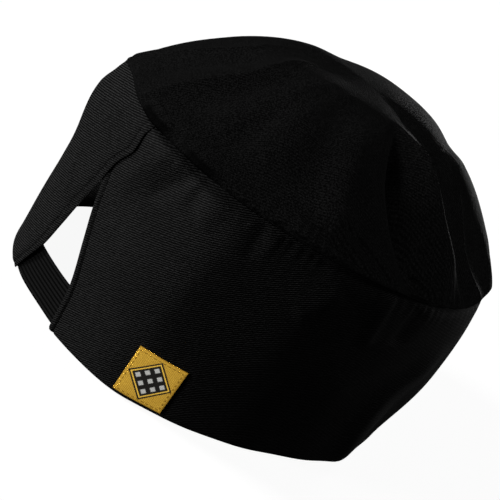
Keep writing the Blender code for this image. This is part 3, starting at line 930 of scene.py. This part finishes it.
def strapGrid():
    rightTip = endAngle(rightEnd, np.array(0.0)) + backAngle(strap["tuck"])
    leftTip = endAngle(leftEnd, np.array(0.0)) - backAngle(strap["tuck"])
    angle = np.linspace(leftTip, rightTip, strap["columns"])[:, None]
    across = np.linspace(0.0, 1.0, strap["ribs"] * strap["rowsPerRib"] + 1)[None, :]
    along = np.linspace(-1.0, 1.0, strap["columns"])[:, None]
    step = cap["cloth"] + cap["clearance"]
    underRight = smoothStep((angle - (rightTip + leftTip) / 2) / backAngle(cap["opening"]) + 0.5)
    inner = step + step * underRight + strap["pull"] * np.cos(along * np.pi / 2) ** 2
    height = strap["lift"] + strap["width"] * across
    share = height / seamHeight(angle)
    rib = strap["ribDepth"] * (0.5 + 0.5 * np.cos(2 * np.pi * strap["ribs"] * across))
    angle = angle + 0.0 * share
    face = wallPoint(angle, share)
    outside = face - spoke(angle) * (inner + rib)[..., None]
    inside = face - spoke(angle) * (inner + strap["thickness"] + 0.0 * rib)[..., None]
    uv = np.stack([np.radians(angle) * rimRadius, height + 0.0 * share - strap["lift"]], -1)
    return outside, inside, uv, uv


# The angle and the share of the band's height of places on the label, which run from 0 to 1
def labelPlace(x, y):
    radius = oval(np.array(label["angle"]), cap["rimWidth"], cap["rimLength"])
    half = np.degrees(label["width"] / 2 / radius)
    angle = label["angle"] + half * (2 * x - 1)
    return angle, (label["lift"] + label["height"] * y) / seamHeight(angle)


def labelGrid():
    side = np.linspace(0.0, 1.0, label["cells"] + 1)
    x, y = np.meshgrid(side, side, indexing="ij")
    angle, share = labelPlace(x, y)
    ground = wallPoint(angle, share, lap(angle))
    inside = ground + spoke(angle) * cap["clearance"]
    edge = np.maximum(np.abs(2 * x - 1), np.abs(2 * y - 1))
    drop = label["edgeDrop"] * smoothStep((edge - label["edgeStart"]) / label["edgeWidth"])
    outside = inside + spoke(angle) * (label["thickness"] * (1 - drop))[..., None]
    uv = np.stack([x, y], -1)
    return outside, inside, uv, uv


# Stitches: short capsules along a path, sunk a little at their ends; each is a ring profile
# carried from one needle hole to the next
def stitchesAlong(path, outward, length, gap):
    radius, rings, sides = thread["radius"], thread["rings"], thread["sides"]
    steps = np.linalg.norm(np.diff(path, axis=0), axis=1)
    run = np.concatenate([[0.0], np.cumsum(steps)])
    count = int(run[-1] // (length + gap))
    start = (np.arange(count) + 0.5 * gap / (length + gap)) * (run[-1] / count)
    k = np.linspace(0.0, 1.0, rings)
    at = start[:, None] + length * k[None, :]
    centre = np.stack([np.interp(at, run, path[:, axis]) for axis in range(3)], -1)
    out = np.stack([np.interp(at, run, outward[:, axis]) for axis in range(3)], -1)
    along = np.gradient(centre, axis=1)
    along /= np.linalg.norm(along, axis=-1, keepdims=True)
    side = np.cross(along, out)
    rise = radius * (thread["arch"] * np.sin(np.pi * k) - thread["sink"])
    centre = centre + out * rise[None, :, None]
    size = radius * np.sqrt(np.clip(1 - (2 * k - 1) ** thread["blunt"], thread["leastEnd"], 1.0))
    turn = np.linspace(0.0, 2 * np.pi, sides, endpoint=False)[:, None]
    ring = np.cos(turn) * side[:, :, None, :] + np.sin(turn) * out[:, :, None, :]
    points = centre[:, :, None, :] + ring * size[None, :, None, None]
    number = np.arange(count * rings * sides).reshape(count, rings, sides)
    wrap = np.concatenate([number, number[..., :1]], -1)
    faces = np.stack([wrap[:, :-1, :-1], wrap[:, :-1, 1:], wrap[:, 1:, 1:], wrap[:, 1:, :-1]], -1)
    caps = [*number[:, 0, ::-1].tolist(), *number[:, -1].tolist()]
    uv = np.stack([np.broadcast_to(k[None, :, None], number.shape), number * 0.0], -1)
    return points.reshape(-1, 3), faces.reshape(-1, 4), uv.reshape(-1, 2), caps


# The row of stitches beside one end of the band; side is 1 for the right end and -1 for the left
def hemStitchPath(table, side, low, high):
    share = np.linspace(low, high, thread["hemPoints"])
    angle = endAngle(table, share) + side * np.degrees(thread["hemInset"] / rimRadius)
    inward = lap(angle) if side > 0 else 0.0 * angle
    return wallPoint(angle, share, inward) - spoke(angle) * thread["hemSink"], spoke(angle)


def labelStitchPath():
    inset = thread["labelInset"]
    corner = np.linspace(inset, 1 - inset, thread["labelPoints"])
    x = np.concatenate([corner, 0 * corner + 1 - inset, corner[::-1], 0 * corner + inset])
    y = np.concatenate([0 * corner + inset, corner, 0 * corner + 1 - inset, corner[::-1]])
    angle, share = labelPlace(x, y)
    lifted = spoke(angle) * (cap["clearance"] + label["thickness"])
    return wallPoint(angle, share, lap(angle)) + lifted, spoke(angle)


# The photograph's view: where the camera looks from, its roll, and the point that it looks at,
# measured along the picture's own axes from the rim's middle
view = {
    "azimuth": 228.72,
    "elevation": 25.39,
    "roll": 33.97,
    "lens": 177.6,
    "distance": 1.1,
    "across": 0.0203,
    "up": 0.03533,
    "sensor": 36.0,
    "nearest": 0.05,
    "farthest": 50.0,
}


def placeCamera():
    azimuth, elevation, roll = (math.radians(view[key]) for key in ("azimuth", "elevation", "roll"))
    back = Vector((math.sin(azimuth) * math.cos(elevation),
                   -math.cos(azimuth) * math.cos(elevation), math.sin(elevation)))
    level = Vector((math.cos(azimuth), math.sin(azimuth), 0.0))
    upright = back.cross(level)
    right = math.cos(roll) * level + math.sin(roll) * upright
    up = math.cos(roll) * upright - math.sin(roll) * level
    target = view["across"] * right + view["up"] * up + Vector(shift)
    data = bpy.data.cameras.new("camera")
    data.lens = view["lens"]
    data.sensor_width = view["sensor"]
    data.clip_start, data.clip_end = view["nearest"], view["farthest"]
    camera = bpy.data.objects.new("camera", data)
    camera.matrix_world = Matrix((
        (right.x, up.x, back.x, 0.0),
        (right.y, up.y, back.y, 0.0),
        (right.z, up.z, back.z, 0.0),
        (0.0, 0.0, 0.0, 1.0),
    ))
    camera.location = target + back * view["distance"]
    bpy.context.scene.collection.objects.link(camera)
    bpy.context.scene.camera = camera


# Each light: the angle round the cap that it comes from, its height in degrees, how far off and
# how wide it is in metres, and its power in watts. Three of them light one piece only, like a
# small reflector held near it; the one inside is what the pale ground throws back up
studio = {
    "world": 0.014,
    "floor": 0.93,
    "floorTone": 0.10,
    "floorSize": 9.0,
    "middle": (0.0, 0.0, 0.07),
    "lights": {
        "keyLight": (-34.0, 30.0, 1.6, 0.28, 22.0),
        "sideLight": (-6.0, 6.0, 1.6, 0.26, 15.0),
        "rimLight": (150.0, 48.0, 1.6, 0.30, 5.0),
        "lowLight": (122.0, 7.0, 1.6, 0.24, 1.2),
        "crownLight": (98.0, 13.0, 1.6, 0.30, 6.5),
        "edgeLight": (-146.0, 2.0, 1.6, 0.20, 7.0),
        "bandLight": (-176.0, 2.0, 1.6, 0.20, 3.5),
        "labelLight": (60.0, 28.0, 1.6, 0.30, 22.0),
        "insideLight": (0.0, -90.0, 0.066, 0.11, 0.15),
    },
}


def placeLights(lit):
    for name, (angle, height, distance, width, power) in studio["lights"].items():
        data = bpy.data.lights.new(name, "AREA")
        data.size, data.energy = width, power
        light = bpy.data.objects.new(name, data)
        turn, rise = math.radians(angle), math.radians(height)
        away = Vector((-math.sin(turn) * math.cos(rise), math.cos(turn) * math.cos(rise),
                       math.sin(rise)))
        light.location = Vector(studio["middle"]) + away * distance
        light.rotation_euler = away.to_track_quat("Z", "Y").to_euler()
        bpy.context.scene.collection.objects.link(light)
        light.visible_camera = False
        if name in lit:
            light.light_linking.receiver_collection = lit[name]
    world = bpy.data.worlds.new("studio")
    world.use_nodes = True
    background = world.node_tree.nodes["Background"].inputs
    background["Color"].default_value = grey(1.0)
    background["Strength"].default_value = studio["world"]
    bpy.context.scene.world = world
    bpy.context.scene.view_settings.view_transform = "Standard"


def placeFloor():
    half = studio["floorSize"] / 2
    mesh = bpy.data.meshes.new("floor")
    corners = [(-half, -half, 0), (half, -half, 0), (half, half, 0), (-half, half, 0)]
    mesh.from_pydata(corners, [], [(0, 1, 2, 3)])
    paint = Paint("floor", 0.9, Base_Color=grey(studio["floorTone"]), Emission_Color=grey(1.0),
                  Emission_Strength=studio["floor"])
    mesh.materials.append(paint.material)
    floor = bpy.data.objects.new("floor", mesh)
    floor.visible_diffuse = False  # its glow lights the picture, not the dark cloth
    floor.visible_glossy = False
    bpy.context.scene.collection.objects.link(floor)


placeCamera()
placeFloor()

bandPiece = makePiece("bandCloth", *closeShell(*bandGrid()), bandTwill())
print("band done")
crownPiece = buildCrown(crownTwill())
print("crown done")
strapPiece = makePiece("elasticStrap", *closeShell(*strapGrid()), elasticWeave())
labelPiece = makePiece("wovenLabel", *closeShell(*labelGrid()), labelWeave())
print("strap and label done")

blackThread = threadPaint("blackThread", thread["black"], thread["blackGloss"])
goldThread = threadPaint("goldThread", thread["gold"], thread["goldGloss"])


def sew(name, path, stitch, material):
    points, faces, uv, caps = stitchesAlong(*path, *stitch)
    return makePiece(name, points, faces, uv, material, tips=caps)


rightStitches = sew("rightHemStitches", hemStitchPath(rightEnd, 1, low=0.02, high=0.97),
                    thread["hemStitch"], blackThread)
leftStitches = sew("leftHemStitches", hemStitchPath(leftEnd, -1, low=0.02, high=0.95),
                   thread["hemStitch"], blackThread)
labelStitches = sew("labelStitches", labelStitchPath(), thread["labelStitch"], goldThread)
print("stitching done")

shiny, soft, wall = (bpy.data.collections.new(name) for name in ("shiny", "soft", "wall"))
for piece in (labelPiece, labelStitches):
    shiny.objects.link(piece)
soft.objects.link(crownPiece)
wall.objects.link(bandPiece)
placeLights({"labelLight": shiny, "crownLight": soft, "bandLight": wall})

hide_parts("band")
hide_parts("crown")
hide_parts("elastic_strap")
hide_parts("label")
